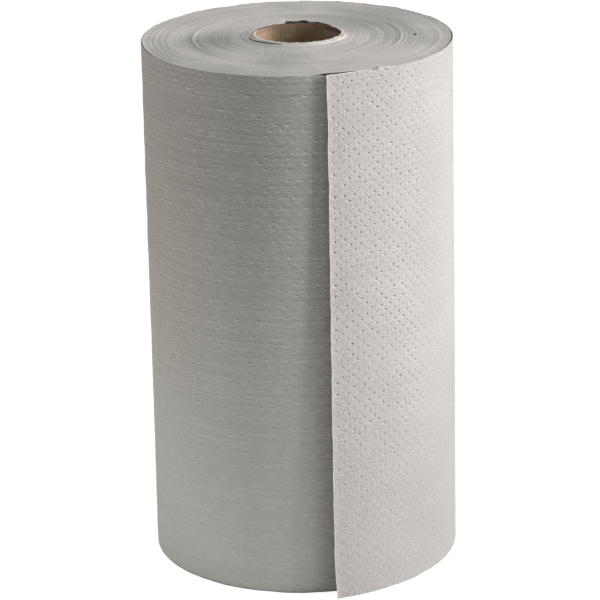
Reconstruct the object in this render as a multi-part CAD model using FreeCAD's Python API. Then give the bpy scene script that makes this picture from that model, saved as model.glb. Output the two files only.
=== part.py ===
import FreeCAD, Part
import math
import os

# A paper towel roll that stands on its end: embossed paper wound on a cardboard tube,
# with the loose end of the paper lifted off the roll.
# Millimetres. +Z runs up the roll's axis. The origin is on that axis, in the plane the roll stands on.
# Azimuths are in degrees from -Y, the side the loose end faces, towards +X.
# Seen from above, the paper winds inwards from its free edge as the azimuth grows.

# Driving dimensions of the roll and its tube
roll_radius = 70.0
web_width = 240.0
bore_radius = 19.0
tube_wall = 1.3
ply = 0.3
winding_squeeze = 0.05

# The loose end leaves the roll on a wider arc, earlier at the bottom than at the top.
# The lifts are how far its free edge stands off the roll.
free_edge_azimuth = 9.6
lift_top = 2.0
lift_bottom = 8.0
leaves_top_azimuth = 29.0
leaves_bottom_azimuth = 90.0
loose_bend = 1.8

# The cut ends: a spiral groove parts the turns into bands. One ring of turns stands proud as a ridge,
# and the bands inside it are pushed up one by one towards the tube.
turn_band = 6.4
groove_width = 0.7
groove_depth = 0.4
ridge_radius = 46.8
ridge_width = 1.2
ridge_height = 0.5
pushed_rise = 1.3
outer_margin = 1.4
inner_margin = 1.6

# The first turns stand up round the tube as a thin collar, and the tube's top is cut a little askew
collar_width = 0.9
collar_rise = 0.5
tube_front_proud = 1.0
tube_back_proud = 0.4

# Working values
loose_sections = 5
loose_steps = 20
root_overlap = 2.0
overshoot = 1.0

tube_radius = bore_radius + tube_wall
turn_step = ply - winding_squeeze
root_azimuth = max(leaves_top_azimuth, leaves_bottom_azimuth) + root_overlap
UP = FreeCAD.Vector(0, 0, 1)


def at(radius, azimuth, z=0.0, centre=FreeCAD.Vector(0, 0, 0)):
    """The point at a radius and azimuth about a vertical axis through centre."""
    a = math.radians(azimuth)
    return centre + FreeCAD.Vector(radius * math.sin(a), -radius * math.cos(a), z)


def arc(radius, start, end, z=0.0, centre=FreeCAD.Vector(0, 0, 0)):
    """The level arc from one azimuth to another."""
    middle = at(radius, (start + end) / 2, z, centre)
    return Part.Arc(at(radius, start, z, centre), middle, at(radius, end, z, centre)).toShape()


def line(first, second):
    """The straight edge between two points."""
    return Part.LineSegment(first, second).toShape()


def ring(inner, outer, low, high):
    """A level ring about the roll's axis."""
    outside = Part.makeCylinder(outer, high - low, FreeCAD.Vector(0, 0, low))
    inside = Part.makeCylinder(inner, high - low + 2 * overshoot, FreeCAD.Vector(0, 0, low - overshoot))
    return outside.cut(inside)


def turns_blank():
    """The wound turns. Their outline is the last turn: half circles that grow by one turn's step."""
    inner = roll_radius - turn_step
    shifted = at(turn_step / 2, root_azimuth)
    half = root_azimuth - 180
    outline = [
        arc(inner, root_azimuth, half),
        arc(inner + turn_step / 2, half, root_azimuth - 360, centre=shifted),
        line(at(roll_radius, root_azimuth), at(inner, root_azimuth)),
    ]
    return Part.Face(Part.Wire(outline)).extrude(UP * web_width)


def loose_radius(azimuth, share):
    """How far from the axis the loose end's outer side is, at an azimuth and a share of the height."""
    leaves = leaves_bottom_azimuth + (leaves_top_azimuth - leaves_bottom_azimuth) * share
    lift = lift_bottom + (lift_top - lift_bottom) * share
    freed = max(0.0, (leaves - azimuth) / (leaves - free_edge_azimuth))
    return roll_radius + lift * freed**loose_bend


def loose_outline(share):
    """The loose end's section at one height: the last turn, easing off the roll to the free edge."""
    z = web_width * share
    span = root_azimuth - free_edge_azimuth
    azimuths = [root_azimuth - span * i / loose_steps for i in range(loose_steps + 1)]
    outer = [at(loose_radius(a, share), a, z) for a in azimuths]
    inner = [at(loose_radius(a, share) - ply, a, z) for a in reversed(azimuths)]
    sides = [Part.BSplineCurve(), Part.BSplineCurve()]
    sides[0].interpolate(outer)
    sides[1].interpolate(inner)
    return Part.Wire(
        [
            sides[0].toShape(),
            line(outer[-1], inner[0]),
            sides[1].toShape(),
            line(inner[-1], outer[0]),
        ]
    )


def loose_end():
    """The sheet between the last turn and the free edge, ruled through level sections."""
    sections = [loose_outline(i / (loose_sections - 1)) for i in range(loose_sections)]
    return Part.makeLoft(sections, True, True)


def spiral(inner, outer):
    """The half turns of a spiral that winds in from a circle of the outer radius to the inner one.
    Each is a centre, a radius and the azimuth it starts from. Even ones turn about the roll's axis and
    odd ones about a point half a band aside, so that they join up. Two more than needed are given."""
    count = max(2, round(2 * (outer - inner) / turn_band))
    step = (outer - inner) / count
    aside = at(-step, root_azimuth)
    centres = [FreeCAD.Vector(0, 0, 0), aside]
    return [(centres[i % 2], outer - step * i, root_azimuth + 180 * i) for i in range(count + 2)]


def pushed_spiral():
    """The spiral inside the ridge."""
    inner = tube_radius + collar_width + inner_margin
    return spiral(inner, ridge_radius - ridge_width / 2 - groove_width)


def rise(index):
    """How far a band's half turn is pushed up, counted inwards from the ridge."""
    return pushed_rise * (index + 1) / len(pushed_spiral())


def groove(half_turn, surface, side):
    """A half turn of the groove in an end face. Side is 1 on the top end and -1 on the bottom."""
    centre, radius, start = half_turn
    slope = groove_width / 2 / groove_depth
    mouth = groove_width / 2 + slope * overshoot
    corners = [
        at(radius - mouth, start, surface + side * overshoot, centre),
        at(radius + mouth, start, surface + side * overshoot, centre),
        at(radius, start, surface - side * groove_depth, centre),
    ]
    face = Part.Face(Part.makePolygon(corners + corners[:1]))
    return face.revolve(centre, UP, 180)


def grooves():
    """The spiral groove on both ends, inside and outside the ridge."""
    cuts = []
    for i, half_turn in enumerate(pushed_spiral()[:-2]):
        cuts.append(groove(half_turn, web_width + rise(i - 1), 1))
        cuts.append(groove(half_turn, rise(i + 1), -1))
    outside = spiral(ridge_radius + ridge_width / 2 + groove_width, roll_radius - outer_margin)
    for half_turn in outside[:-2]:
        cuts.append(groove(half_turn, web_width, 1))
        cuts.append(groove(half_turn, 0.0, -1))
    return cuts


def pushed_bands(z):
    """The bands inside the ridge, as half discs that step up inwards, above or into the level z."""
    discs = []
    for i, (centre, radius, start) in enumerate(pushed_spiral()):
        outline = [arc(radius, start, start + 180, z, centre)]
        outline.append(line(at(radius, start + 180, z, centre), at(radius, start, z, centre)))
        discs.append(Part.Face(Part.Wire(outline)).extrude(UP * rise(i)))
    return discs


def paper_web():
    """All of the paper: the wound turns, their shaped ends and the loose end, as one solid."""
    crest = web_width + pushed_rise + collar_rise
    collar = ring(tube_radius, tube_radius + collar_width, web_width, crest)
    ridge_inner = ridge_radius - ridge_width / 2
    ridge = ring(ridge_inner, ridge_inner + ridge_width, web_width, web_width + ridge_height)
    web = turns_blank().fuse(pushed_bands(web_width) + [collar, ridge])
    hole = Part.makeCylinder(tube_radius, crest + 2 * overshoot, FreeCAD.Vector(0, 0, -overshoot))
    web = web.cut(pushed_bands(0.0) + grooves() + [hole])
    return web.fuse(loose_end())


def core_tube():
    """The cardboard tube. It stands level with the paper's foot, and its top is cut a little askew."""
    level = web_width + pushed_rise
    high = level + tube_front_proud
    across = tube_radius + overshoot
    slope = (tube_front_proud - tube_back_proud) / (2 * tube_radius)
    middle = level + (tube_front_proud + tube_back_proud) / 2
    front = FreeCAD.Vector(-across, -across, middle + slope * across)
    back = FreeCAD.Vector(-across, across, middle - slope * across)
    above = UP * (high + overshoot - middle)
    waste = Part.Face(Part.makePolygon([front, back, back + above, front + above, front]))
    tube = ring(bore_radius, tube_radius, 0.0, high)
    return tube.cut(waste.extrude(FreeCAD.Vector(2 * across, 0, 0)))


def export(name, shape):
    """Writes one sub-part, as a single valid solid, and prints its size."""
    solid = shape.removeSplitter()
    print(name, "solids", len(solid.Solids), "valid", solid.isValid(), "faces", len(solid.Faces))
    box = solid.BoundBox
    print("  box", [round(v, 2) for v in (box.XMin, box.XMax, box.YMin, box.YMax, box.ZMin, box.ZMax)])
    print("  volume in cm3", round(solid.Volume / 1000, 1))
    solid.exportStep(os.path.join("parts", name + ".step"))


os.makedirs("parts", exist_ok=True)
export("paper_web", paper_web())
export("core_tube", core_tube())
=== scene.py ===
import math

import bpy
import numpy as np
from mathutils import Matrix, Vector


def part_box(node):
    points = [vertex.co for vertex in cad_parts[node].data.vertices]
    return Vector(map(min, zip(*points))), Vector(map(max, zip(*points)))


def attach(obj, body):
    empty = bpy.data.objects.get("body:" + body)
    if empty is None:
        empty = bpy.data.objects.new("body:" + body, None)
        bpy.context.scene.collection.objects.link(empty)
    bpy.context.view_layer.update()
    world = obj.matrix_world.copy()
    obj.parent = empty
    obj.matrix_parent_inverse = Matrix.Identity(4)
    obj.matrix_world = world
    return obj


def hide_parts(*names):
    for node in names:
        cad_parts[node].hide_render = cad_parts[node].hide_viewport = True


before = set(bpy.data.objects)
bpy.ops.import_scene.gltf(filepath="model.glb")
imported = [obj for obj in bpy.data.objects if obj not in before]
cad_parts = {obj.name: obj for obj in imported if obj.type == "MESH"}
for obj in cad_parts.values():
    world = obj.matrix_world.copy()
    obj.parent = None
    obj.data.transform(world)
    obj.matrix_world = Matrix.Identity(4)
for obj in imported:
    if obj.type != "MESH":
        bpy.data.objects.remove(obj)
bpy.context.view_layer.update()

# A roll of grey pin-embossed paper towel that stands on its end.
# Metres. +Z runs up the roll's axis. Azimuths are in degrees from -Y, the side the loose end faces,
# towards +X, and grow as the paper winds inwards from its free edge. A span of four values is where
# something starts, where it is full from and to, and where it ends. A fade is where it starts and is full.

MM = 0.001

# Sizes shared with the solids
roll_radius = 70.0 * MM
web_width = 240.0 * MM
ply = 0.3 * MM
turn_step = 0.25 * MM
free_edge_azimuth = 9.6
lift_top = 2.0 * MM
lift_bottom = 8.0 * MM
leaves_top_azimuth = 29.0
leaves_bottom_azimuth = 90.0
loose_bend = 1.8
root_azimuth = 92.0
tube_wall = 1.3 * MM
tube_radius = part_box("core_tube")[1][0]
bore_radius = tube_radius - tube_wall
ridge_radius = 46.8 * MM
ridge_width = 1.2 * MM
ridge_height = 0.5 * MM
pushed_rise = 1.3 * MM
pushed_level = web_width + pushed_rise
collar_width = 0.9 * MM
turn_band = 6.4 * MM
groove_width = 0.7 * MM
outer_margin = 1.4 * MM
inner_margin = 1.6 * MM
tube_front_proud = 1.0 * MM
tube_back_proud = 0.4 * MM

# The pin embossing: a brick pattern with one pit in the middle of each brick, round on the loose end
# and drawn out sideways on the roll
brick_length = 5.0 * MM
brick_height = 2.5 * MM
brick_rows = round(web_width / brick_height)
brick_outline = ((0, 0), (1, 0), (2, 0), (2, 1), (1, 1), (0, 1))
pit_radius = 0.74 * MM
pit_floor_radius = 0.26 * MM
pit_depth = 0.3 * MM
pit_stretch = 1.3
pit_aims = np.radians([210, 270, 330, 30, 90, 150])
pit_corners = len(pit_aims)
pit_shift_along = 0.16 * MM
pit_shift_level = 0.12 * MM

# How firmly the pits are pressed: unevenly, less so towards the foot and in a soft stretch beside the
# loose end, and half as deep round the roll
pressed_mean = 0.8
pressed_spread = 0.22
pressed_limits = (0.25, 1.25)
foot_loss = 0.42
soft_span = (40 * MM, 70 * MM, 110 * MM, 170 * MM)
soft_loss = 0.4
depth_fade = (85 * MM, 35 * MM)

# The side of a pit's mouth with a painted highlight, in degrees from along the sheet towards up
highlight_side_loose = 225.0
highlight_side_wound = 270.0

# How the outermost paper is shared out, in bricks from the free edge
loose_bricks = 36
all_bricks = 94
pitted_inside_bricks = 22

# The last of the outermost paper passes in under the loose end
under_tuck = 0.12 * MM
tuck_fade = (free_edge_azimuth + 345, free_edge_azimuth + 362)
under_gap = 0.04 * MM

# The outermost paper's slackness: how far soft level bands and broad waves stand off
band_slack = 0.035 * MM
broad_slack = 0.05 * MM

# The free edge curls out and wanders, in degrees: it hangs to the left lower down, and its bottom corner
# turns back
curl_length = 1.1 * MM
curl_height = 0.4 * MM
edge_reach = 9 * MM
edge_drift_top = 0.3
edge_drift = 0.85
edge_corner = 0.55
edge_corner_height = 11 * MM
edge_waver = 0.07

# The loose end's top edge is turned in, and stands proud of the roll up to where the paper leaves it.
# Under the loose end the edge of the last turn is tucked down. Lengths are along the sheet.
turned_length = 1.0 * MM
turned_depth = 0.35 * MM
turned_fade = (22 * MM, 14 * MM)
proud_edge = 0.7 * MM
proud_at_free_edge = 0.6
proud_growth = (8 * MM, 20 * MM)
proud_fade = (38 * MM, 28 * MM)
proud_stretch = 12 * MM
tucked_top = 1.3 * MM
tucked_span = (368, 372, 384, 391)

# The roll's cut edges waver a little
cut_band = 0.6 * brick_height
top_waver = 0.1 * MM
foot_waver = 0.08 * MM

# A curved crease in the wall below the top edge, left of the free edge
crease_azimuth = 350.0
crease_half_length = 16 * MM
crease_height = 233.5 * MM
crease_sag = 3.0 * MM
crease_width = 0.9 * MM

# The crumpled tuft where the paper leaves the roll
crumple_azimuth = 28.8
crumple_reach = 2.4
crumple_height = 1.3 * MM
crumple_fold = 0.6 * MM
crumple_thickness = 0.14 * MM
crumple_root = 0.4 * MM
crumple_out = 0.05 * MM

# Relief of the top end: the ridge with a hollow inside it, both stronger at the left and right, the
# front turns that rise to the tube, low rings near the rim as shares of the radius, and the turns
ridge_spread = 0.65 * MM
ridge_left_span = (-114, -98, -60, -38)
ridge_right_span = (60, 78, 112, 130)
hollow_depth = 0.12 * MM
hollow_inside = 1.5 * MM
hollow_spread = 0.6 * MM
front_rise = 0.9 * MM
front_rise_fade = (2.6 * MM, 0.3 * MM)
outer_rings = ((0.88, 0.07 * MM), (0.91, 0.1 * MM), (0.94, 0.08 * MM))
outer_rings_span = (-135, -108, -52, -30)
outer_rings_spread = 0.6 * MM
coarse_height = 0.035 * MM
fine_height = 0.025 * MM
groove_spread = 0.42 * MM
groove_top_depth = 0.03 * MM
groove_foot_depth = 0.16 * MM
foot_turns_height = 0.03 * MM
step_slope = 2.4 * MM

# Gaps between the turns of the top end: behind the loose end, at the rim, torn open behind the tube and
# as a slit to the right of that, beside the torn first turns, and one nick
gap_depth = 2.4 * MM
gap_slope = 0.15 * MM
slack_width = 2.9 * MM
slack_span = (2, 11, 19, 32)
right_rim_span = (46, 62, 86, 96)
right_rim_gap = 0.4 * MM
left_rim_span = (-88, -80, -66, -56)
left_rim_gap = 0.35 * MM
tear_width = 7.2 * MM
tear_span = (166, 178, 189, 196)
slit_width = 5.8 * MM
slit_span = (118, 165, 168, 178)
tear_waver = 0.05
# The tube's cut edge has painted shade at the back, about this azimuth
shaded_back_azimuth = 190.0
first_turns_span = (-84, -62, -34, -16)
first_turns_gap = 0.3 * MM
first_turns_gap_spread = 0.16 * MM
nick_azimuth = 91.0
nick_radius = 53.0 * MM
nick_half_width = 0.36 * MM
nick_half_length = 0.78 * MM
nick_share = 0.7

# The tube leans to the right, has a little play in the turns, and its top edge is ruffled and rounded
tube_lean = 0.7 * MM
tube_play = 0.05 * MM
ruffle_height = 0.12 * MM
fine_ruffle_height = 0.04 * MM
tube_rounding = 0.25 * MM
tube_shoulder = 0.3 * MM

# The torn first turns stand round the tube, a little below its top, and part at its left and right.
# The first drops at the back. The second drops at the front and is torn away from the right to the back.
layer_root = 1.6 * MM
layer_waver = 0.06 * MM
layer_rounding = 0.06 * MM
first_turn_out = 0.2 * MM
first_turn_thickness = 0.24 * MM
second_turn_thickness = 0.26 * MM
layers_least = 0.45 * MM
layers_parting = 0.8 * MM
first_turn_below = 0.1 * MM
first_turn_tears = 0.14 * MM
first_turn_fine_tears = 0.06 * MM
first_turn_back_drop = 0.7 * MM
second_turn_below = 0.3 * MM
second_turn_tears = 0.12 * MM
second_turn_fine_tears = 0.05 * MM
second_turn_front_drop = 0.5 * MM
second_turn_front_azimuth = -8.0
torn_away_span = (84, 88, 232, 250)
torn_away_drop = 1.0 * MM
torn_away_tears = 0.15 * MM

# Under the outermost paper the wound turns' edges are rounded, and between their ends they are set back
rim_rounding = 0.12 * MM
set_back = 0.5 * MM
set_back_margin = 2 * MM

# Fineness of the meshes, in points round the roll
roll_points = 400
tube_points = 480
layer_points = 720

# Where the paper's tones and its painted light and shade change, along the sheet, and by azimuth for the
# painted light at its foot
drawn_fade = (60 * MM, 170 * MM)
# Where the painted warm light on the wall's left side fades
warm_light_fade = (402 * MM, 366 * MM)
# Where the painted highlight on the pits grows round the wall
pit_highlight_fade = (330 * MM, 385 * MM)
loose_pits_fade = (40 * MM, 66 * MM)
lifted_fade = (36 * MM, 28 * MM)
foot_light_azimuths = (367.0, 360.0)

# Tones on screen, 0 to 255
paper_pale = (229, 222, 219)
paper_deep = (219, 213, 210)
# Painted shade for the hollows of the crepe and grain
crepe_shade_tone = (171, 167, 163)
wound_tone = (196, 202, 187)
# Painted warm light at the wall's left
warm_light_tone = (208, 188, 174)
# Painted shade for the wall's streaks
streak_shade_tone = (166, 164, 154)
# Painted shade towards the top of the wall
upper_shade_tone = (184, 180, 175)
# Painted light at the wall's foot
foot_light_tone = (240, 240, 232)
# Painted shade on the loose end low down
loose_low_shade_tone = (178, 178, 178)
speck_tone = (118, 110, 100)
# Painted highlight on one side of each pit's mouth
pit_highlight_tone = (250, 247, 243)
# Painted shade in the pits' floors
pit_shade_tone = (96, 91, 84)
# Painted shade in the crease
crease_shade_tone = (120, 116, 110)
# Painted highlight on the loose end's edges
edge_highlight_tone = (250, 246, 242)
# Painted contact shadow at the foot
foot_shadow_tone = (112, 108, 102)
end_deep = (219, 217, 213)
end_pale = (245, 240, 237)
# Painted sheen of the top end, its dark and pale lobes
painted_sheen_dark = (150, 151, 146)
painted_sheen_pale = (243, 237, 233)
# Painted shade and light in patches on the top end
patch_shade_tone = (140, 141, 138)
patch_light_tone = (246, 241, 237)
turn_tone = (156, 153, 148)
fluff_tone = (146, 143, 138)
# Painted shade in the gaps between the turns
gap_shade_tone = (58, 54, 46)
board_deep = (114, 99, 76)
board_pale = (138, 120, 94)
board_cloud = (160, 130, 110)
# Painted light on the bore's left side
board_lit = (222, 186, 164)
seam_tone = (92, 74, 56)
# Painted light on the bore's inner side near its top edge
board_upper_light = (132, 96, 84)
# Painted shadow under the bore's rim at the right
board_shadow_tone = (56, 44, 28)
board_edge = (238, 232, 224)
# Painted shade on the tube's cut edge at the back
board_back_shade = (50, 43, 34)
torn_deep = (216, 212, 206)
torn_pale = (240, 237, 232)

# The painted sheen of the top end, and where it has patches of painted shade and light: azimuth, radius,
# reach and share
painted_sheen_azimuth = 48.0
shade_patches = (
    (-82.0, 37 * MM, 23 * MM, 0.6),
    (132.0, 44 * MM, 34 * MM, 0.3),
    (-9.0, 42 * MM, 22 * MM, 0.3),
    (87.0, 54 * MM, 24 * MM, 0.25),
)
light_patches = (
    (-36.0, 48 * MM, 18 * MM, 0.35),
    (212.0, 38 * MM, 24 * MM, 0.35),
    (55.0, 53 * MM, 20 * MM, 0.25),
)

# How far the tube's spiral seam climbs in a turn
seam_pitch = 64 * MM

# The surround, the floor and how far the lamps stand off
surround_strength = 0.06
floor_half_size = 6.0
floor_grey = 0.86
floor_shadow_share = 0.35
floor_light = 0.3
lamp_distance = 1.3

# The photograph's camera, in pixels of its 600 by 600 frame
frame_pixels = 600.0
focal_pixels = 3226.17
centre_pixel = (301.06, 248.18)
camera_distance = 21.081 * roll_radius
camera_elevation = 17.716
camera_roll = -1.169
target_height = 2.009 * roll_radius


def at(radius, azimuth, z):
    """Points at a radius and azimuth, as an array with a row for each."""
    a = np.radians(azimuth)
    return np.stack([radius * np.sin(a), -radius * np.cos(a), z + 0 * a], axis=-1)


def waves(count, shortest, longest, seed):
    """A smooth random curve of one variable, as a function: a sum of sines of mixed lengths."""
    rng = np.random.default_rng(seed)
    lengths = np.exp(rng.uniform(math.log(shortest), math.log(longest), count))
    phases = rng.uniform(0, 2 * math.pi, count)
    scale = math.sqrt(2 / count)

    def curve(x):
        x = np.asarray(x, float)[..., None]
        return scale * np.sin(2 * math.pi * x / lengths + phases).sum(axis=-1)

    return curve


def smoothstep(low, high, x):
    """0 below low, 1 above high, and an easy slope between."""
    t = np.clip((x - low) / (high - low), 0, 1)
    return t * t * (3 - 2 * t)


def window(x, span):
    """1 between the middle two values of a span, easing to 0 at its start and end."""
    start, full_from, full_to, end = span
    return smoothstep(start, full_from, x) * smoothstep(end, full_to, x)


def bump(x, width):
    """A smooth hump of the given half width about 0."""
    return np.exp(-((x / width) ** 2))


def wrapped(azimuth):
    """Azimuths between -180 and 180."""
    return (azimuth + 180) % 360 - 180


# The random curves of the piece: over a height, a length, a radius or an azimuth
sag_bands = waves(7, 14 * MM, 60 * MM, 11)
sag_round = waves(5, 45 * MM, 190 * MM, 12)
edge_wave = waves(9, 3 * MM, 40 * MM, 13)
foot_wave = waves(9, 4 * MM, 50 * MM, 14)
free_wave = waves(7, 5 * MM, 60 * MM, 15)
coarse_turns = waves(12, 2.2 * MM, 9 * MM, 21)
fine_turns = waves(18, 0.7 * MM, 2.0 * MM, 22)
turn_fade = waves(4, 130.0, 360.0, 23)
tear_edge = waves(6, 8.0, 34.0, 24)
tube_ruffle = waves(14, 4.0, 40.0, 31)
tube_ruffle_fine = waves(14, 1.5, 5.0, 32)
torn_first = waves(16, 5.0, 60.0, 41)
torn_fine = waves(20, 1.5, 6.0, 42)
torn_second = waves(16, 6.0, 70.0, 43)
first_turn_lean = waves(8, 12.0, 90.0, 44)
second_turn_lean = waves(8, 12.0, 90.0, 45)


def build_mesh(name, vertices, polygons, sharp_angle=60.0, uv=None):
    """A smooth-shaded mesh object from arrays of corner indices, each array with its own corner count."""
    mesh = bpy.data.meshes.new(name)
    totals = np.concatenate([np.full(len(p), p.shape[1]) for p in polygons])
    corners = np.concatenate([p.ravel() for p in polygons])
    mesh.vertices.add(len(vertices))
    mesh.vertices.foreach_set("co", np.asarray(vertices, np.float32).ravel())
    mesh.loops.add(len(corners))
    mesh.loops.foreach_set("vertex_index", corners.astype(np.int32))
    mesh.polygons.add(len(totals))
    starts = np.concatenate([[0], np.cumsum(totals)[:-1]])
    mesh.polygons.foreach_set("loop_start", starts.astype(np.int32))
    mesh.polygons.foreach_set("loop_total", totals.astype(np.int32))
    mesh.update(calc_edges=True)
    mesh.polygons.foreach_set("use_smooth", np.ones(len(totals), bool))
    if uv is not None:
        layer = mesh.uv_layers.new(name="UVMap")
        layer.data.foreach_set("uv", np.asarray(uv, np.float32)[corners].ravel())
    mesh.set_sharp_from_angle(angle=math.radians(sharp_angle))
    mesh.validate()
    piece = bpy.data.objects.new(name, mesh)
    bpy.context.scene.collection.objects.link(piece)
    return piece


def mark(piece, name, values):
    """Puts a named value at each point of a piece, for its material."""
    layer = piece.data.attributes.new(name, "FLOAT", "POINT")
    layer.data.foreach_set("value", np.asarray(values, np.float32))


def compact(name, points, polygons, uv, sharp_angle, values):
    """The mesh object without the points that no polygon uses, and with named values at its points."""
    used = np.unique(np.concatenate([p.ravel() for p in polygons]))
    place = np.full(len(points), -1)
    place[used] = np.arange(len(used))
    piece = build_mesh(name, points[used], [place[p] for p in polygons], sharp_angle, uv[used])
    for key, value in values.items():
        mark(piece, key, value[used])
    return piece


def boundary(polygons):
    """The edges that only one polygon uses, each in that polygon's direction."""
    pairs = [np.stack([p, np.roll(p, -1, axis=1)], axis=-1).reshape(-1, 2) for p in polygons]
    edges = np.concatenate(pairs)
    keys = np.sort(edges, axis=1)
    keys = keys[:, 0].astype(np.int64) << 32 | keys[:, 1]
    _, where, counts = np.unique(keys, return_index=True, return_counts=True)
    return edges[where[counts == 1]]


def ring_mesh(name, rings, closed):
    """A mesh from rings of points, each joined to the next, and the last to the first if closed."""
    count = len(rings[0])
    around = np.arange(count)
    after = (around + 1) % count
    last = len(rings) if closed else len(rings) - 1
    quads = []
    for i in range(last):
        low = i * count
        high = (i + 1) % len(rings) * count
        quads.append(np.stack([low + after, low + around, high + around, high + after], axis=1))
    return build_mesh(name, np.concatenate(rings), [np.concatenate(quads)])


def sheet_radius(azimuth, share):
    """The outer side of the outermost paper: from the free edge, round and in under the loose end."""
    leaves = leaves_bottom_azimuth + (leaves_top_azimuth - leaves_bottom_azimuth) * share
    lift = lift_bottom + (lift_top - lift_bottom) * share
    freed = np.clip((leaves - azimuth) / (leaves - free_edge_azimuth), 0, None)
    wound = np.clip((azimuth - root_azimuth) / 360, 0, None)
    tucked = under_tuck * smoothstep(*tuck_fade, azimuth)
    return roll_radius + lift * freed**loose_bend - turn_step * wound - tucked


def sheet_lengths():
    """Azimuths all along the outermost paper, and the lengths there from its free edge at half height."""
    steps = np.linspace(free_edge_azimuth, root_azimuth + 360, 4000)
    radii = sheet_radius(steps, 0.5)
    pieces = np.hypot(np.diff(radii), radii[:-1] * np.radians(np.diff(steps)))
    return steps, np.concatenate([[0], np.cumsum(pieces)])


def sheet_azimuth(along):
    """The azimuth at a length along the outermost paper."""
    steps, lengths = sheet_lengths()
    return np.interp(along, lengths, steps)


def sheet_length(azimuth):
    """The length along the outermost paper at an azimuth."""
    steps, lengths = sheet_lengths()
    return np.interp(azimuth, steps, lengths)


def sheet_slack(along, z):
    """How far the outermost paper stands off by its own slackness, in soft level bands and broad waves."""
    bands = sag_bands(z + 0.02 * along) * (0.6 + 0.4 * sag_round(along))
    broad = sag_round(along + 0.3 * z) * smoothstep(0, 0.06, 1 - z / web_width)
    return band_slack * bands + broad_slack * broad


def edge_bends(along, z):
    """The free edge curls out a little, and the loose end's top edge is turned in."""
    curl = curl_height * np.clip(1 - along / curl_length, 0, 1) ** 2
    turned = turned_depth * np.clip(1 - (web_width - z) / turned_length, 0, 1) ** 2
    return curl - turned * smoothstep(*turned_fade, along)


def free_edge_shift(z):
    """How the free edge wanders from a straight line, in degrees."""
    drift = edge_drift_top - edge_drift * smoothstep(1.0, 0.1, z / web_width)
    return drift + edge_corner * bump(z, edge_corner_height) + edge_waver * free_wave(z)


def sheet_point(along, z, out):
    """A point of the outermost paper at a length along it and a height, moved out along its normal."""
    share = np.clip(z / web_width, 0, 1)
    azimuth = sheet_azimuth(along) + bump(along, edge_reach) * free_edge_shift(z)
    radius = sheet_radius(azimuth, share)
    small = 0.05
    slope = sheet_radius(azimuth + small, share) - sheet_radius(azimuth - small, share)
    slope = slope / (2 * math.radians(small))
    normal = azimuth - np.degrees(np.arctan2(slope, radius))
    out = out + sheet_slack(along, z) + edge_bends(along, z)
    return at(radius, azimuth, z) + at(out, normal, 0 * z)


def cut_edges(along, z):
    """Heights with the cut edges a little uneven, and the loose end's top edge proud of the roll."""
    top = smoothstep(web_width - cut_band, web_width, z)
    foot = smoothstep(cut_band, 0, z)
    grown = smoothstep(*proud_growth, along)
    proud = proud_edge * (proud_at_free_edge + (1 - proud_at_free_edge) * grown)
    proud = proud * smoothstep(*proud_fade, along)
    turned_in = tucked_top * window(sheet_azimuth(along), tucked_span)
    stretched = smoothstep(web_width - proud_stretch, web_width, z) * (proud - turned_in)
    wavers = top * top_waver * edge_wave(along) + foot * foot_waver * (1.2 + foot_wave(along))
    return z + stretched + wavers


def pressed_pits(column, row):
    """Where the pits of some bricks lie, how firmly each is pressed, and how deep it is."""
    along = (2 * column + row % 2 + 1) * brick_length / 2
    level = (row + 0.5) * brick_height
    uneven = np.random.default_rng(5)
    pressed = np.clip(uneven.normal(pressed_mean, pressed_spread, len(column)), *pressed_limits)
    pressed = pressed * (1 - foot_loss * smoothstep(0.5 * web_width, 0.05 * web_width, level))
    pressed = pressed * (1 - soft_loss * window(along, soft_span))
    depth = pit_depth * pressed * (0.5 + 0.5 * smoothstep(*depth_fade, along))
    along = along + uneven.normal(0, pit_shift_along, len(column))
    level = level + uneven.normal(0, pit_shift_level, len(column))
    return along, level, pressed, depth


def pit_points(column, along, level, depth, side):
    """The points of the pits, first all mouths and then all floors, as lengths, heights and distances out.
    Side is 0 on the sheet's outer side and 1 on its inner side."""
    stretch = np.where(column < loose_bricks, 1.0, pit_stretch)[:, None]
    points = []
    for radius, share in ((pit_radius, 0.0), (pit_floor_radius, 1.0)):
        s = along[:, None] + radius * np.cos(pit_aims) * stretch
        z = level[:, None] + radius * np.sin(pit_aims) / stretch
        out = np.repeat(-(share * depth)[:, None], pit_corners, axis=1) - side * ply
        points.append(np.stack([s.ravel(), z.ravel(), out.ravel()]))
    return np.concatenate(points, axis=1)


def pitted_bricks(frames, start, mouths, chosen):
    """The polygons of the chosen bricks: from outline to mouth, from mouth to floor, and the floors.
    Outlines are numbered from start, and mouths and then floors from mouths."""
    around = np.arange(pit_corners)
    after = (around + 1) % pit_corners
    outline = frames[chosen] + start
    mouth = mouths + np.flatnonzero(chosen)[:, None] * pit_corners
    floor = mouth + len(frames) * pit_corners
    outer = np.stack([outline, outline[:, after], mouth + after, mouth + around], axis=-1)
    inner = np.stack([mouth + around, mouth + after, floor + after, floor + around], axis=-1)
    return [outer.reshape(-1, 4), inner.reshape(-1, 4), floor + around]


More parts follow.
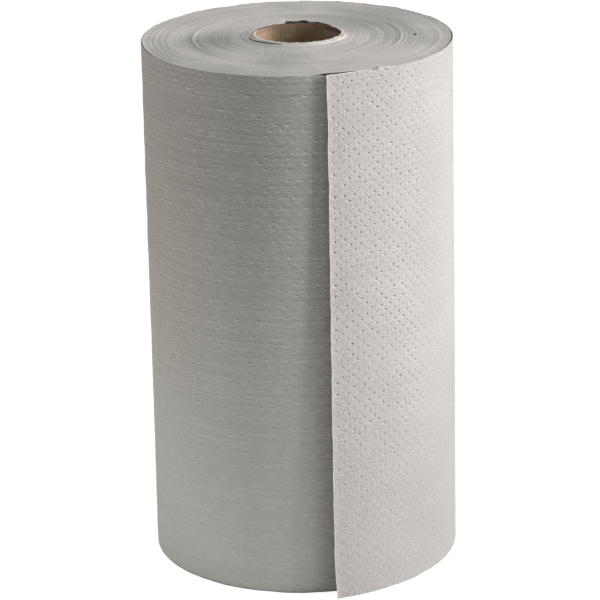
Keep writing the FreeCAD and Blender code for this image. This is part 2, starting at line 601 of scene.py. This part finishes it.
def embossed_sheet(name, first, last, pitted_inside):
    """Part of the outermost paper, from one brick to another, as a closed sheet with its pits."""
    halves = np.arange(2 * all_bricks + 2) * brick_length / 2
    levels = np.arange(brick_rows + 1) * brick_height
    along, level = (grid.ravel() for grid in np.meshgrid(halves, levels, indexing="ij"))
    corner = np.arange(along.size).reshape(len(halves), len(levels))
    bricks = np.meshgrid(np.arange(first, last), np.arange(brick_rows), indexing="ij")
    column, row = (grid.ravel() for grid in bricks)
    left = 2 * column + row % 2
    frames = np.stack([corner[left + a, row + b] for a, b in brick_outline], axis=1)
    half = row[(column == 0) & (row % 2 == 1)]
    flats = np.stack([corner[0, half], corner[1, half], corner[1, half + 1], corner[0, half + 1]], axis=1)

    pits_along, pits_level, pressed, depth = pressed_pits(column, row)
    sides = []
    for side in (0, 1):
        sheet = np.stack([along, level, np.full(along.size, -side * ply)])
        sides += [sheet, pit_points(column, pits_along, pits_level, depth, side)]
    s, z, out = np.concatenate(sides, axis=1)

    back = len(s) // 2
    everywhere = np.ones(len(column), bool)
    pitted = column < pitted_inside
    outside = pitted_bricks(frames, 0, along.size, everywhere) + [flats]
    inside = pitted_bricks(frames, back, back + along.size, pitted)
    inside += [frames[~pitted] + back, flats + back]
    edge = boundary(outside)
    rim = np.stack([edge[:, 1], edge[:, 0], edge[:, 0] + back, edge[:, 1] + back], axis=1)
    polygons = outside + [p[:, ::-1] for p in inside] + [rim]

    points = sheet_point(s, z, out)
    points[:, 2] = cut_edges(s, z)
    # Painted highlight marked on one side of each pit's mouth, as glint
    highlight_side = np.radians(np.where(column < loose_bricks, highlight_side_loose, highlight_side_wound))[:, None]
    pale = np.clip(np.cos(pit_aims - highlight_side), 0, 1) * pressed[:, None]
    floors = along.size + pale.size
    # Painted shade marked at the pits' floors, as pit
    pit = np.zeros(len(points))
    pit[floors:back] = np.repeat(pressed, pit_corners)
    glint = np.zeros(len(points))
    glint[along.size:floors] = pale.ravel()
    uv = np.stack([s, z], axis=1)
    filled = [p for p in polygons if len(p)]
    return compact(name, points, filled, uv, 24.0, {"pit": pit, "glint": glint})


def spiral(inner, outer):
    """The half turns of the groove between bands of turns: centre, radius and first azimuth."""
    count = max(2, round(2 * (outer - inner) / turn_band))
    step = (outer - inner) / count
    centres = [np.zeros(3), at(-step, root_azimuth, 0.0)]
    return [(centres[i % 2], outer - step * i, root_azimuth + 180 * i) for i in range(count + 2)]


def pushed_spiral():
    """The groove inside the ridge."""
    inner = tube_radius + collar_width + inner_margin
    return spiral(inner, ridge_radius - ridge_width / 2 - groove_width)


def outer_spiral():
    """The groove outside the ridge."""
    return spiral(ridge_radius + ridge_width / 2 + groove_width, roll_radius - outer_margin)


def in_half(azimuth, start):
    """Which azimuths lie in the half turn after start."""
    return ((azimuth - start) % 360) < 180


def push(x, y, azimuth):
    """How far the turns inside the ridge are pushed up, stepping at the groove."""
    rise = np.zeros_like(x)
    bands = pushed_spiral()
    for i, (centre, radius, start) in enumerate(bands):
        outside = np.hypot(x - centre[0], y - centre[1]) - radius
        here = pushed_rise * (i + 1) / len(bands) * smoothstep(step_slope, -step_slope, outside)
        rise = np.where(in_half(azimuth, start), np.maximum(rise, here), rise)
    return rise


def groove_cut(x, y, azimuth, depth):
    """The spiral groove's cut into an end face."""
    cut = np.zeros_like(x)
    for centre, radius, start in pushed_spiral()[:-2] + outer_spiral()[:-2]:
        off = np.hypot(x - centre[0], y - centre[1]) - radius
        cut = np.where(in_half(azimuth, start), np.maximum(cut, depth * bump(off, groove_spread)), cut)
    return cut


def layers_reach(azimuth):
    """How far the second torn turn stands off the tube: the most at its left and right."""
    return layers_least + layers_parting * np.sin(np.radians(azimuth)) ** 2


def gaps(radius, azimuth):
    """Where the turns of the top end stand apart, as a share from 0 to 1 of gap_depth."""
    a = wrapped(azimuth)
    inward = roll_radius - ply - radius
    outward = radius - tube_radius
    behind = slack_width * window(a, slack_span)
    behind_loose_edge = smoothstep(gap_slope, -gap_slope, inward - behind)
    right_rim = window(a, right_rim_span) * smoothstep(gap_slope, -gap_slope, inward - right_rim_gap)
    left_rim = window(a, left_rim_span) * smoothstep(gap_slope, -gap_slope, inward - left_rim_gap)
    reach = tear_width * window(azimuth, tear_span) + slit_width * window(azimuth, slit_span)
    reach = reach * (1 + tear_waver * tear_edge(azimuth))
    torn_back = smoothstep(gap_slope, -gap_slope, outward - reach) * smoothstep(0.2 * MM, 0.5 * MM, reach)
    off_layers = outward - layers_reach(a) - first_turns_gap
    beside_first_turns = window(a, first_turns_span) * bump(off_layers, first_turns_gap_spread)
    across = np.radians(a - nick_azimuth) * radius
    nick_off = np.hypot((radius - nick_radius) / nick_half_width, across / nick_half_length)
    nick = nick_share * bump(nick_off, 1.0)
    return np.max([behind_loose_edge, right_rim, left_rim, torn_back, beside_first_turns, nick], axis=0)


def end_relief(radius, azimuth):
    """The height of the top end's turns above the web's width."""
    x, y, _ = np.moveaxis(at(radius, azimuth, 0.0), -1, 0)
    a = wrapped(azimuth)
    facing = np.cos(np.radians(azimuth))
    sideways = 0.3 + 0.7 * (window(a, ridge_left_span) + window(a, ridge_right_span))
    ridge = ridge_height * bump(radius - ridge_radius, ridge_spread)
    hollow = hollow_depth * bump(radius - (ridge_radius - hollow_inside), hollow_spread)
    rise = push(x, y, azimuth) - groove_cut(x, y, azimuth, groove_top_depth)
    rise = rise + sideways * (ridge - hollow)
    near_tube = smoothstep(*front_rise_fade, radius - tube_radius)
    rise = rise + front_rise * smoothstep(0.2, 0.9, facing) * near_tube
    left = 0.25 + 0.75 * window(a, outer_rings_span)
    for share, height in outer_rings:
        rise = rise + height * left * bump(radius - share * roll_radius, outer_rings_spread)
    fade = 0.75 + 0.25 * turn_fade((azimuth % 360) * np.ones_like(radius))
    rise = rise + coarse_height * coarse_turns(radius) * fade + fine_height * fine_turns(radius)
    return rise - gap_depth * gaps(radius, azimuth)


def foot_relief(radius, azimuth):
    """The height of the bottom end's turns, which are pushed in and cut by the groove."""
    x, y, _ = np.moveaxis(at(radius, azimuth, 0.0), -1, 0)
    turns = foot_turns_height * (1 + np.clip(coarse_turns(radius), -1, 1))
    return push(x, y, azimuth) + groove_cut(x, y, azimuth, groove_foot_depth) + turns


def wound_outline(azimuth, z):
    """The radius of the turns just under the outermost paper, at an end's edge."""
    turned = np.where(azimuth < root_azimuth, azimuth + 360, azimuth)
    slack = sheet_slack(sheet_length(turned), z)
    return sheet_radius(turned, z / web_width) - ply - under_gap + slack


def wound_body():
    """The wound turns under the outermost paper, with both cut ends, as one closed shape."""
    azimuth = np.arange(roll_points) * 360.0 / roll_points
    shares = np.concatenate([
        np.linspace(0, 0.13, 38),
        np.linspace(0.138, 0.93, 90),
        np.linspace(0.935, 1, 28),
    ])
    inner = tube_radius + tube_play
    rings = []
    gap = []
    outline = wound_outline(azimuth, web_width)
    for share in shares:
        radius = inner + (outline - inner) * share
        edge = rim_rounding * smoothstep(0.992, 1.0, share)
        rings.append(at(radius, azimuth, web_width + end_relief(radius, azimuth) - edge))
        gap.append(gaps(radius, azimuth))
    for z in (web_width - set_back_margin, set_back_margin):
        rings.append(at(roll_radius - ply - turn_step - set_back, azimuth, z))
    outline = wound_outline(azimuth, 0.0)
    for share in np.linspace(1, 0, 60):
        radius = inner + (outline - inner) * share
        rings.append(at(radius, azimuth, foot_relief(radius, azimuth)))
    body = ring_mesh("wound_turns", rings, closed=True)
    gap += [0 * azimuth] * (len(rings) - len(gap))
    # The gaps are marked for the painted shade in the end's material
    mark(body, "gap", np.concatenate(gap))
    return body


def leaning(rings):
    """Rings of points moved over as the tube leans, a little to the right at the top."""
    return [ring + ring[:, 2:3] / web_width * np.array([tube_lean, 0, 0]) for ring in rings]


def rim_level(azimuth):
    """The height of the tube's top edge all round."""
    level = pushed_level + (tube_front_proud + tube_back_proud) / 2
    return level + (tube_front_proud - tube_back_proud) / 2 * np.cos(np.radians(azimuth))


def core_tube():
    """The cardboard tube, with its askew and slightly ruffled top edge."""
    azimuth = np.arange(tube_points) * 360.0 / tube_points
    ruffle = ruffle_height * tube_ruffle(azimuth) + fine_ruffle_height * tube_ruffle_fine(azimuth)
    top = rim_level(azimuth) + ruffle
    middle = (bore_radius + tube_radius) / 2
    half = (tube_radius - bore_radius) / 2
    rings = [at(bore_radius, azimuth, (top - tube_rounding) * share) for share in np.linspace(0, 1, 14)]
    for a in np.radians(np.linspace(15, 165, 7)):
        drop = tube_rounding * (1 - math.sin(a))
        rings.append(at(middle - half * math.cos(a) ** 3, azimuth, top - drop))
    rings.append(at(tube_radius, azimuth, top - tube_shoulder))
    rings.append(at(tube_radius, azimuth, 0.0))
    return ring_mesh("core_tube_board", leaning(rings), closed=True)


def torn_layer(name, radius, thickness, top, lean):
    """A thin standing layer of the first turns, which leans in and out and has a torn upper edge."""
    azimuth = np.arange(layer_points) * 360.0 / layer_points
    low = pushed_level - layer_root
    lean = layer_waver * lean(azimuth)
    inner = radius - thickness / 2
    outer = radius + thickness / 2
    middle = (low + top) / 2
    rings = [
        at(inner, azimuth, low),
        at(inner + lean / 2, azimuth, middle),
        at(inner + lean, azimuth, top - layer_rounding),
        at(radius + lean, azimuth, top),
        at(outer + lean, azimuth, top - layer_rounding),
        at(outer + lean / 2, azimuth, middle),
        at(outer, azimuth, low),
    ]
    return ring_mesh(name, leaning(rings), closed=True)


def first_turns():
    """The innermost turns, stuck to the tube and torn: two layers that part at the left and the right."""
    azimuth = np.arange(layer_points) * 360.0 / layer_points
    crest = rim_level(azimuth)
    facing = np.cos(np.radians(azimuth))
    tears = first_turn_tears * torn_first(azimuth) + first_turn_fine_tears * torn_fine(azimuth)
    top = crest - first_turn_below + tears - first_turn_back_drop * smoothstep(0.35, 0.8, -facing)
    radius = tube_radius + first_turn_out
    inner = torn_layer("first_turn", radius, first_turn_thickness, top, first_turn_lean)
    facing = np.cos(np.radians(azimuth - second_turn_front_azimuth))
    torn_away = torn_away_drop + torn_away_tears * torn_fine(azimuth)
    tears = second_turn_tears * torn_second(azimuth) + second_turn_fine_tears * torn_fine(azimuth + 50)
    top = crest - second_turn_below + tears - window(azimuth, torn_away_span) * torn_away
    top = top - second_turn_front_drop * smoothstep(0.75, 0.97, facing)
    radius = tube_radius + layers_reach(azimuth)
    outer = torn_layer("second_turn", radius, second_turn_thickness, top, second_turn_lean)
    return inner, outer


def crumpled_edge():
    """The small crumpled tuft at the top edge, where the paper leaves the roll."""
    up = np.array([0.0, 0.33, 0.67, 1.0, 1.0, 0.67, 0.33, 0.0])
    side = np.array([1, 1, 1, 1, -1, -1, -1, -1]) * crumple_thickness / 2
    rings = []
    for azimuth in np.linspace(crumple_azimuth - crumple_reach, crumple_azimuth + crumple_reach, 96):
        swell = float(bump(azimuth - crumple_azimuth, 1.5))
        fold = math.sin(9.0 * azimuth + 2.0 * math.sin(3.1 * azimuth))
        fray = 0.75 + 0.3 * float(torn_fine(6 * azimuth))
        z = web_width - crumple_root + up * (crumple_root + crumple_height * swell * fray)
        radius = sheet_radius(azimuth, 1.0) + crumple_out + crumple_fold * swell * fold * up + side
        rings.append(at(radius, azimuth, z))
    return ring_mesh("crumpled_edge", rings, closed=False)


def linear(red, green, blue):
    """A colour from its values on screen, 0 to 255."""
    parts = [c / 255 for c in (red, green, blue)]
    parts = [p / 12.92 if p <= 0.04045 else ((p + 0.055) / 1.055) ** 2.4 for p in parts]
    return (*parts, 1.0)


class Nodes:
    """The nodes of a material or of the surround, made one by one with their inputs."""

    def __init__(self, owner):
        self.owner = owner
        self.owner.use_nodes = True
        self.tree = self.owner.node_tree
        self.tree.nodes.clear()

    def give(self, socket, value):
        """Gives an input its value, which may be another node's output."""
        if isinstance(value, bpy.types.NodeSocket):
            self.tree.links.new(value, socket)
        else:
            socket.default_value = value

    def add(self, kind, inputs=(), **settings):
        """A node of a kind. Its inputs are given by name or number."""
        node = self.tree.nodes.new(kind)
        for key, value in settings.items():
            setattr(node, key, value)
        for key, value in dict(inputs).items():
            self.give(node.inputs[key], value)
        return node

    def math(self, operation, first, second=0.0):
        """The output of a sum on one or two numbers."""
        return self.add("ShaderNodeMath", {0: first, 1: second}, operation=operation).outputs[0]

    def times(self, first, *others):
        """The product of some numbers."""
        for other in others:
            first = self.math("MULTIPLY", first, other)
        return first

    def plus(self, first, second):
        """The sum of two numbers."""
        return self.math("ADD", first, second)

    def parts(self, vector):
        """The three parts of a vector."""
        return self.add("ShaderNodeSeparateXYZ", {0: vector}).outputs

    def ramp(self, value, low, high, start=0.0, end=1.0):
        """A value mapped from one range to another, held at the ends, with an easy slope."""
        inputs = {"Value": value, "From Min": low, "From Max": high, "To Min": start, "To Max": end}
        return self.add("ShaderNodeMapRange", inputs, interpolation_type="SMOOTHSTEP").outputs[0]

    def noise(self, vector, scales, detail, roughness):
        """The factor of a noise texture, with its scale along each part of a vector."""
        scaled = self.add("ShaderNodeVectorMath", {0: vector, 1: scales}, operation="MULTIPLY").outputs[0]
        inputs = {"Vector": scaled, "Scale": 1.0, "Detail": detail, "Roughness": roughness}
        return self.add("ShaderNodeTexNoise", inputs).outputs["Fac"]

    def marked(self, name):
        """The value that is marked at a piece's points under a name."""
        return self.add("ShaderNodeAttribute", attribute_name=name).outputs["Fac"]

    def mix(self, share, first, second):
        """A mix of two colours."""
        node = self.add("ShaderNodeMix", data_type="RGBA")
        for number, value in ((0, share), (6, first), (7, second)):
            self.give(node.inputs[number], value)
        return node.outputs[2]

    def tint(self, colour, tone, *shares):
        """A colour drawn towards a tone by the product of some shares."""
        return self.mix(self.times(*shares), colour, linear(*tone))

    def bump(self, height, distance, strength=1.0, normal=None):
        """The normal over a height, in metres for a height of 1."""
        inputs = {"Height": height, "Distance": distance, "Strength": strength}
        if normal is not None:
            inputs["Normal"] = normal
        return self.add("ShaderNodeBump", inputs).outputs[0]

    def finish(self, colour, normal, roughness=0.95, specular=0.2):
        """The shader and the output of a material."""
        inputs = {"Base Color": colour, "Normal": normal, "Roughness": roughness}
        inputs["Specular IOR Level"] = specular
        shader = self.add("ShaderNodeBsdfPrincipled", inputs)
        self.add("ShaderNodeOutputMaterial", {"Surface": shader.outputs[0]})
        return self.owner


def crease(n, along, height):
    """A shallow curved crease in the wall, as 1 on its line."""
    off_middle = n.math("SUBTRACT", along, float(sheet_length(crease_azimuth)))
    across = n.math("DIVIDE", off_middle, crease_half_length)
    squared = n.times(across, across)
    line = n.plus(n.times(squared, crease_sag), crease_height - crease_sag)
    off = n.math("ABSOLUTE", n.math("SUBTRACT", height, line))
    return n.times(n.ramp(off, crease_width, 0.0), n.ramp(squared, 1.0, 0.4))


def wall_tones(n, colour, along, height, drawn, streak):
    """The wound paper is greyer than the loose end, with painted shade in its streaks. Painted light makes
    it warmer at the left and paler at the foot, painted shade darker towards the top, and the loose end
    has painted shade low down."""
    colour = n.tint(colour, wound_tone, drawn, 0.32)
    # Painted warm light on the wall's left, above the foot
    left = n.ramp(along, *warm_light_fade)
    above_foot = n.ramp(height, 0.1 * web_width, 0.5 * web_width)
    colour = n.tint(colour, warm_light_tone, drawn, left, above_foot, 0.36)
    # Painted shade in the low streaks of the wound wall
    colour = n.tint(colour, streak_shade_tone, drawn, n.ramp(streak, 0.58, 0.38, 0.0, 0.3))
    # Painted shade, darker towards the top of the wall
    colour = n.tint(colour, upper_shade_tone, drawn, n.ramp(height, 0.4 * web_width, web_width, 0.0, 0.35))
    # Painted light at the wall's foot, held back beside the loose end's shadow
    foot_fade = [float(sheet_length(azimuth)) for azimuth in foot_light_azimuths]
    open_wall = n.ramp(along, *foot_fade, 0.1, 0.6)
    colour = n.tint(colour, foot_light_tone, drawn, open_wall, n.ramp(height, 0.9 * web_width, 0.0))
    # Painted shade on the lower part of the loose end
    low = n.ramp(height, 0.56 * web_width, 0.1 * web_width)
    off_edge = n.ramp(along, 0.0, drawn_fade[0], 0.2, 1.0)
    return n.tint(colour, loose_low_shade_tone, low, off_edge, n.ramp(drawn, 0.0, 0.8, 0.36, 0.0))


def pit_tones(n, colour, along, drawn):
    """The pits' mouths have a painted highlight on one side, and their floors painted shade."""
    # Painted highlight on one side of the pits' mouths
    round_left = n.ramp(along, *pit_highlight_fade, 0.35, 0.6)
    colour = n.tint(colour, pit_highlight_tone, n.ramp(n.marked("glint"), 0.1, 1.0), round_left)
    # Painted shade in the pits' floors, weaker on the loose end's right
    on_loose = n.ramp(along, *loose_pits_fade, 0.55, 0.25)
    on_wound = n.ramp(drawn, 0.3, 1.0, 0.0, 0.2)
    return n.tint(colour, pit_shade_tone, n.ramp(n.marked("pit"), 0.15, 1.15), n.plus(on_loose, on_wound))


def edge_tones(n, colour, along, height, drawn):
    """The loose end's top edge and the free edge have a painted highlight, and the foot a painted contact
    shadow.
    """
    # Painted highlight on the loose end's top edge and free edge
    lifted = n.ramp(along, *lifted_fade)
    top_edge = n.times(lifted, n.ramp(height, web_width - 0.5 * MM, web_width - 0.2 * MM))
    free_edge = n.ramp(along, 0.5 * MM, 0.15 * MM)
    colour = n.tint(colour, edge_highlight_tone, n.math("MAXIMUM", top_edge, free_edge), 0.75)
    # Painted contact shadow along the wall's foot
    return n.tint(colour, foot_shadow_tone, drawn, n.ramp(height, 1.0 * MM, 0.2 * MM), 0.5)


def paper_material():
    """Embossed creped paper, laid out by the length along the sheet and the height.
    The wound paper is drawn into fine level creases, and the loose end has relaxed to a plain grain."""
    n = Nodes(bpy.data.materials.new("embossed_paper"))
    uv = n.add("ShaderNodeTexCoord").outputs["UV"]
    along, height, _ = n.parts(uv)
    drawn = n.ramp(along, *drawn_fade)
    crepe = n.noise(uv, (260.0, 1400.0, 1.0), 2.0, 0.6)
    grain = n.noise(uv, (950.0, 1250.0, 1.0), 3.0, 0.65)
    streak = n.noise(uv, (14.0, 420.0, 1.0), 3.0, 0.55)
    cloud = n.noise(uv, (28.0, 40.0, 1.0), 4.0, 0.55)
    speck = n.noise(uv, (1500.0, 1700.0, 1.0), 1.0, 0.5)
    surface = n.plus(n.times(crepe, drawn, 0.75), n.times(grain, n.ramp(drawn, 0.0, 1.0, 1.0, 0.25)))
    tone = n.plus(n.times(streak, 0.4), n.times(cloud, 0.6))
    colour = n.mix(n.ramp(tone, 0.34, 0.66), linear(*paper_deep), linear(*paper_pale))
    # Painted shade in the hollows of the crepe and grain
    hollows = n.ramp(surface, 0.36, 0.66, 1.0, 0.0)
    colour = n.tint(colour, crepe_shade_tone, hollows, n.ramp(drawn, 0.0, 1.0, 0.42, 0.9))
    colour = wall_tones(n, colour, along, height, drawn, streak)
    colour = n.tint(colour, speck_tone, n.ramp(speck, 0.70, 0.78, 0.0, 0.3))
    colour = pit_tones(n, colour, along, drawn)
    fold = crease(n, along, height)
    # Painted shade along the crease
    colour = n.tint(colour, crease_shade_tone, fold, 0.16)
    colour = edge_tones(n, colour, along, height, drawn)
    normal = n.bump(surface, 0.5 * MM)
    normal = n.bump(streak, 0.2 * MM, 0.5, normal)
    normal = n.bump(fold, -0.3 * MM, 1.0, normal)
    return n.finish(colour, normal)


def off_axis(n, x, y):
    """The distance from the axis."""
    return n.math("SQRT", n.plus(n.times(x, x), n.times(y, y)))


def end_material():
    """The cut edges of the turns: fine rings about the axis, a painted sheen paler along one diameter,
    painted patches of shade and light, and painted shade in the gaps. It has no real sheen."""
    n = Nodes(bpy.data.materials.new("cut_turns"))
    place = n.add("ShaderNodeTexCoord").outputs["Object"]
    x, y, _ = n.parts(place)
    about = n.add("ShaderNodeCombineXYZ", {0: off_axis(n, x, y), 1: x, 2: y}).outputs[0]
    fine = n.noise(about, (900.0, 9.0, 9.0), 3.0, 0.6)
    broad = n.noise(about, (190.0, 8.0, 8.0), 3.0, 0.6)
    fluff = n.noise(place, (1300.0, 1300.0, 1300.0), 3.0, 0.6)
    cloud = n.noise(place, (38.0, 38.0, 38.0), 3.0, 0.55)
    tone = n.plus(n.times(broad, 0.4), n.times(cloud, 0.6))
    colour = n.mix(n.ramp(tone, 0.38, 0.62), linear(*end_deep), linear(*end_pale))
    # Painted sheen, paler along one diameter and darker across it
    azimuth = n.math("ARCTAN2", x, n.times(y, -1.0))
    painted_sheen = n.math("COSINE", n.times(n.math("SUBTRACT", azimuth, math.radians(painted_sheen_azimuth)), 2.0))
    colour = n.tint(colour, painted_sheen_dark, n.ramp(painted_sheen, -1.0, 0.4, 0.2, 0.0))
    colour = n.tint(colour, painted_sheen_pale, n.ramp(painted_sheen, 0.2, 1.0, 0.0, 0.45))
    # Painted patches of shade and light on the top end
    for patches, patch_tone in ((shade_patches, patch_shade_tone), (light_patches, patch_light_tone)):
        for patch_azimuth, radius, reach, share in patches:
            middle = at(radius, patch_azimuth, web_width).tolist()
            apart = n.add("ShaderNodeVectorMath", {0: place, 1: middle}, operation="DISTANCE")
            colour = n.tint(colour, patch_tone, n.ramp(apart.outputs["Value"], reach, 0.0, 0.0, share))
    colour = n.tint(colour, turn_tone, n.ramp(fine, 0.4, 0.75, 0.0, 0.4))
    colour = n.tint(colour, fluff_tone, n.ramp(fluff, 0.35, 0.6, 0.35, 0.0))
    # Painted shade in the gaps between the turns
    colour = n.tint(colour, gap_shade_tone, n.ramp(n.marked("gap"), 0.0, 0.07, 0.0, 0.92))
    relief = n.plus(n.times(fine, 0.5), n.times(fluff, 0.5))
    return n.finish(colour, n.bump(relief, 0.4 * MM, 0.9), 1.0, 0.05)


def board_material():
    """Brown spiral-wound board: its seam winds up the bore, and its inner side has painted light at the
    left and near the top edge and a painted shadow at the right under the top edge. Its cut edge is pale
    but for painted shade at the back."""
    n = Nodes(bpy.data.materials.new("tube_board"))
    place = n.add("ShaderNodeTexCoord").outputs["Object"]
    shifted_x, y, z = n.parts(place)
    x = n.math("SUBTRACT", shifted_x, tube_lean)
    turn = n.math("DIVIDE", n.math("ARCTAN2", y, x), 2 * math.pi)
    climb = n.math("FRACT", n.plus(n.math("DIVIDE", z, seam_pitch), turn))
    seam = n.ramp(n.math("ABSOLUTE", n.math("SUBTRACT", climb, 0.5)), 0.0, 0.02, 1.0, 0.0)
    fibre = n.noise(place, (450.0, 450.0, 380.0), 4.0, 0.6)
    cloud = n.noise(place, (60.0, 60.0, 60.0), 3.0, 0.6)
    colour = n.mix(n.ramp(fibre, 0.25, 0.75), linear(*board_deep), linear(*board_pale))
    colour = n.tint(colour, board_cloud, n.ramp(cloud, 0.35, 0.65, 0.0, 0.3))
    # Painted light on the bore's left side
    colour = n.tint(colour, board_lit, n.ramp(x, -0.42 * bore_radius, -0.95 * bore_radius), 0.8)
    colour = n.tint(colour, seam_tone, seam, 0.55)
    # Painted light near the bore's top edge
    upper = n.ramp(z, pushed_level - 2.6 * MM, pushed_level - 1.0 * MM)
    colour = n.tint(colour, board_upper_light, upper, 0.4)
    # Painted shadow under the rim at the right of the bore
    right = n.ramp(n.plus(x, n.times(y, 0.3)), 0.7 * bore_radius, 1.0 * bore_radius)
    colour = n.tint(colour, board_shadow_tone, upper, right, 0.7)
    top = n.ramp(z, pushed_level - 0.9 * MM, pushed_level - 0.2 * MM)
    cut_edge = n.times(top, n.ramp(off_axis(n, x, y), bore_radius + 0.05 * MM, bore_radius + 0.45 * MM))
    # Painted shade on the cut edge at the back
    back_x, back_y, _ = at(1.0, shaded_back_azimuth, 0.0).tolist()
    towards_back = n.plus(n.times(x, back_x), n.times(y, back_y))
    back = n.ramp(towards_back, 0.35 * tube_radius, 0.6 * tube_radius)
    colour = n.mix(cut_edge, colour, n.mix(back, linear(*board_edge), linear(*board_back_shade)))
    normal = n.bump(fibre, 0.2 * MM, 0.8)
    return n.finish(colour, n.bump(seam, 0.3 * MM, 1.0, normal), 0.85, 0.3)


def torn_material():
    """The pale torn paper round the tube's mouth and in the tuft."""
    n = Nodes(bpy.data.materials.new("torn_paper"))
    place = n.add("ShaderNodeTexCoord").outputs["Object"]
    fibre = n.noise(place, (2200.0, 2200.0, 2200.0), 4.0, 0.65)
    cloud = n.noise(place, (210.0, 210.0, 210.0), 3.0, 0.6)
    colour = n.mix(n.ramp(cloud, 0.3, 0.6), linear(*torn_deep), linear(*torn_pale))
    return n.finish(colour, n.bump(fibre, 0.25 * MM, 0.9), 1.0, 0.1)


def dress(piece, material, node):
    """A finished piece: its material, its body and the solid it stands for."""
    piece.data.materials.append(material)
    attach(piece, "root")
    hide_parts(node)


def seen_directly(n):
    """1 where the camera looks, also in a sheen or through glass, and 0 for the light on the roll."""
    path = n.add("ShaderNodeLightPath").outputs
    seen = n.math("MAXIMUM", path["Is Camera Ray"], path["Is Glossy Ray"])
    return n.math("MAXIMUM", seen, path["Is Transmission Ray"])


def backdrop():
    """A white floor that keeps a faint shadow, and a white surround that lights the roll only a little."""
    white = (1.0, 1.0, 1.0, 1.0)
    corners = np.array([(-1, -1, 0), (1, -1, 0), (1, 1, 0), (-1, 1, 0)]) * floor_half_size
    floor = build_mesh("floor", corners, [np.array([[0, 1, 2, 3]])])
    n = Nodes(bpy.data.materials.new("floor_white"))
    seen = seen_directly(n)
    grey = n.ramp(seen, 0.0, 1.0, floor_grey, floor_shadow_share)
    tint = n.add("ShaderNodeCombineColor", {0: grey, 1: grey, 2: grey})
    matt = n.add("ShaderNodeBsdfDiffuse", {"Color": tint.outputs[0]})
    glow = n.times(seen, 1 - floor_shadow_share * floor_light)
    own_light = n.add("ShaderNodeEmission", {"Color": white, "Strength": glow})
    both = n.add("ShaderNodeAddShader", {0: matt.outputs[0], 1: own_light.outputs[0]})
    n.add("ShaderNodeOutputMaterial", {"Surface": both.outputs[0]})
    floor.data.materials.append(n.owner)

    n = Nodes(bpy.data.worlds.new("surround"))
    dim = n.add("ShaderNodeBackground", {"Color": white, "Strength": surround_strength})
    plain = n.add("ShaderNodeBackground", {"Color": white, "Strength": 1.0})
    shown = n.add("ShaderNodeMixShader", {0: seen_directly(n), 1: dim.outputs[0], 2: plain.outputs[0]})
    n.add("ShaderNodeOutputWorld", {"Surface": shown.outputs[0]})
    bpy.context.scene.world = n.owner


def soft_lamp(name, azimuth, elevation, width, height, power, sheen=True):
    """A rectangular lamp that faces the middle of the roll and isn't seen itself. Without a sheen it isn't
    mirrored either."""
    lamp = bpy.data.lights.new(name, "AREA")
    lamp.shape = "RECTANGLE"
    lamp.size = width
    lamp.size_y = height
    lamp.energy = power
    thing = bpy.data.objects.new(name, lamp)
    thing.visible_camera = False
    thing.visible_glossy = sheen
    a, e = math.radians(azimuth), math.radians(elevation)
    aim = Vector((math.sin(a) * math.cos(e), -math.cos(a) * math.cos(e), math.sin(e)))
    thing.location = Vector((0, 0, web_width / 2)) + lamp_distance * aim
    thing.rotation_mode = "QUATERNION"
    thing.rotation_quaternion = aim.to_track_quat("Z", "Y")
    bpy.context.scene.collection.objects.link(thing)


def camera():
    """The camera at the photograph's place."""
    data = bpy.data.cameras.new("camera")
    data.sensor_width = 36.0
    data.lens = focal_pixels * data.sensor_width / frame_pixels
    data.shift_x = (frame_pixels / 2 - centre_pixel[0]) / frame_pixels
    data.shift_y = (centre_pixel[1] - frame_pixels / 2) / frame_pixels
    data.clip_start = 0.05
    data.clip_end = 50.0
    thing = bpy.data.objects.new("camera", data)
    e, r = math.radians(camera_elevation), math.radians(camera_roll)
    forward = Vector((0, math.cos(e), -math.sin(e)))
    level = Vector((1, 0, 0))
    up = level.cross(forward)
    right = math.cos(r) * level + math.sin(r) * up
    above = -math.sin(r) * level + math.cos(r) * up
    turned = Matrix((right, above, -forward)).transposed()
    thing.matrix_world = turned.to_4x4()
    thing.location = Vector((0, 0, target_height)) - camera_distance * forward
    bpy.context.scene.collection.objects.link(thing)
    bpy.context.scene.camera = thing


wall_paper = paper_material()
torn = torn_material()
dress(embossed_sheet("loose_end", 0, loose_bricks, pitted_inside_bricks), wall_paper, "paper_web")
dress(embossed_sheet("outer_turn", loose_bricks, all_bricks, 0), wall_paper, "paper_web")
dress(wound_body(), end_material(), "paper_web")
for layer in first_turns():
    dress(layer, torn, "paper_web")
dress(crumpled_edge(), torn, "paper_web")
dress(core_tube(), board_material(), "core_tube")

backdrop()
soft_lamp("key_right", 72.5, 22.0, 0.38, 0.7, 13.6)
soft_lamp("fill_top", 0.0, 85.0, 0.7, 0.9, 4.8)
soft_lamp("fill_left", -92.0, 14.0, 0.7, 0.9, 4.0, sheen=False)
soft_lamp("fill_low", -40.0, -2.0, 0.6, 0.14, 0.7, sheen=False)
soft_lamp("fill_back", 180.0, 6.0, 0.9, 0.9, 3.0, sheen=False)
camera()
bpy.context.scene.view_settings.view_transform = "Standard"
